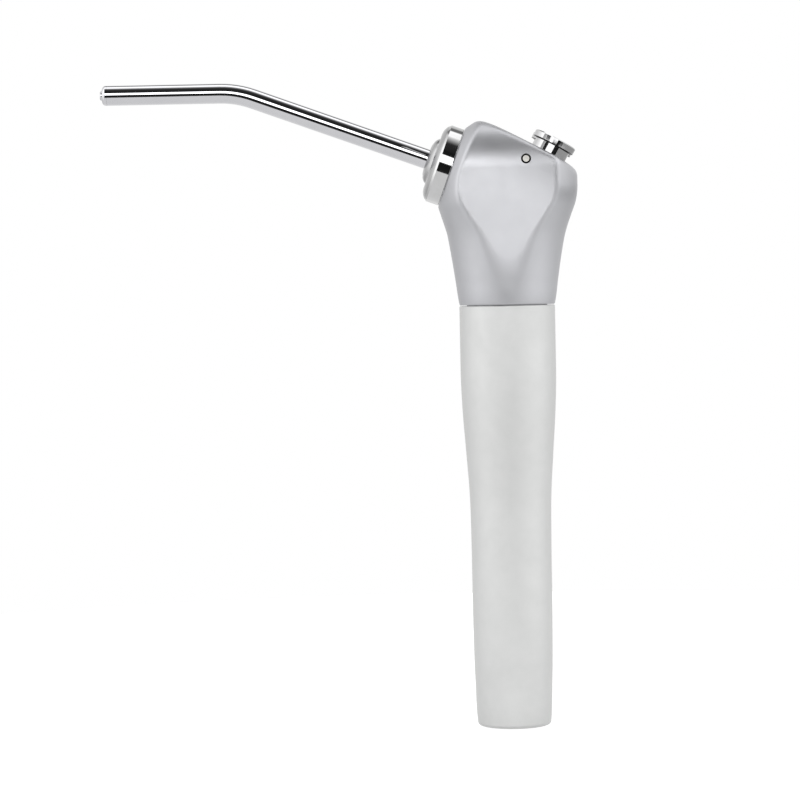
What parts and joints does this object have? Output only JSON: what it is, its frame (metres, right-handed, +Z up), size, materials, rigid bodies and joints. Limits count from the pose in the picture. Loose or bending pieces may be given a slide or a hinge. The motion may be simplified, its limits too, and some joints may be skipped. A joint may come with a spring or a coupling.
{
  "type": "three-way air water dental syringe",
  "caption": "Hand-held dental air and water syringe with a bent nozzle, a lock nut, push buttons on a sloped head and a slim hollow handle.",
  "frame": {"origin": "on the handle's axis, in the plane of the handle's lower rim, where the hoses enter", "axes": "+Z up along the handle; -X the way the nozzle points; +X the way the buttons face; -Y the air button's side, +Y the water button's side"},
  "size_m": [0.0958, 0.021, 0.1307],
  "materials": {
    "anodised_handle": "satin anodised",
    "satin_head": "satin, fine blasted",
    "chrome_plate": "polished chrome plate",
    "steel_pin": "ground",
    "stem_steel": "turned",
    "spring_steel": "drawn wire",
    "brass": "turned",
    "seal_rubber": "matte",
    "collet_plastic": "matte, natural"
  },
  "bodies": {
    "syringe_body": {"handle_sleeve": "anodised_handle", "head_body": "satin_head", "button_pin": "steel_pin", "handle_o_ring": "seal_rubber", "air_hose_barb": "brass", "water_hose_barb": "brass", "air_valve_sleeve": "brass", "water_valve_sleeve": "brass", "nozzle_seat": "brass", "nozzle_air_o_ring": "seal_rubber", "nozzle_water_o_ring": "seal_rubber", "air_spring": "spring_steel", "water_spring": "spring_steel"},
    "air_button_body": {"air_button": "chrome_plate", "air_valve_stem": "stem_steel", "air_stem_o_rings": "seal_rubber"},
    "water_button_body": {"water_button": "chrome_plate", "water_valve_stem": "stem_steel", "water_stem_o_rings": "seal_rubber"},
    "nut_ring_body": {"nut_o_ring": "seal_rubber"},
    "lock_nut_body": {"lock_nut": "chrome_plate"},
    "collet_body": {"nozzle_collet": "collet_plastic"},
    "nozzle_body": {"nozzle_tube": "chrome_plate", "water_tube": "stem_steel", "tip_cap": "chrome_plate"}
  },
  "joints": [
    {"name": "air_button_press", "type": "slide", "parent": "syringe_body", "child": "air_button_body", "axis": [-0.4848, 0, -0.8746], "range_m": [0, 0.0018], "stiffness_N_per_m": 900, "springref_m": -0.0016, "deforming": ["air_spring"]},
    {"name": "water_button_press", "type": "slide", "parent": "syringe_body", "child": "water_button_body", "axis": [-0.4848, 0, -0.8746], "range_m": [0, 0.0018], "stiffness_N_per_m": 900, "springref_m": -0.0016, "deforming": ["water_spring"]},
    {"name": "lock_nut_advance", "type": "slide", "parent": "syringe_body", "child": "nut_ring_body", "axis": [-0.9385, 0, 0.3453], "range_m": [0, 0.002]},
    {"name": "lock_nut_turn", "type": "hinge", "parent": "nut_ring_body", "child": "lock_nut_body", "pos_m": [-0.0107, 0, 0.1129], "axis": [-0.9385, 0, 0.3453], "range_deg": [0, 720]},
    {"name": "nozzle_swivel", "type": "hinge", "parent": "syringe_body", "child": "collet_body", "pos_m": [-0.0107, 0, 0.1129], "axis": [-0.9385, 0, 0.3453], "continuous": true},
    {"name": "nozzle_pull", "type": "slide", "parent": "collet_body", "child": "nozzle_body", "axis": [-0.9385, 0, 0.3453], "range_m": [0, 0.012]}
  ],
  "couplings": [
    {"joint": "lock_nut_advance", "follows": "lock_nut_turn", "m_per_rad": 0.00015915}
  ]
}
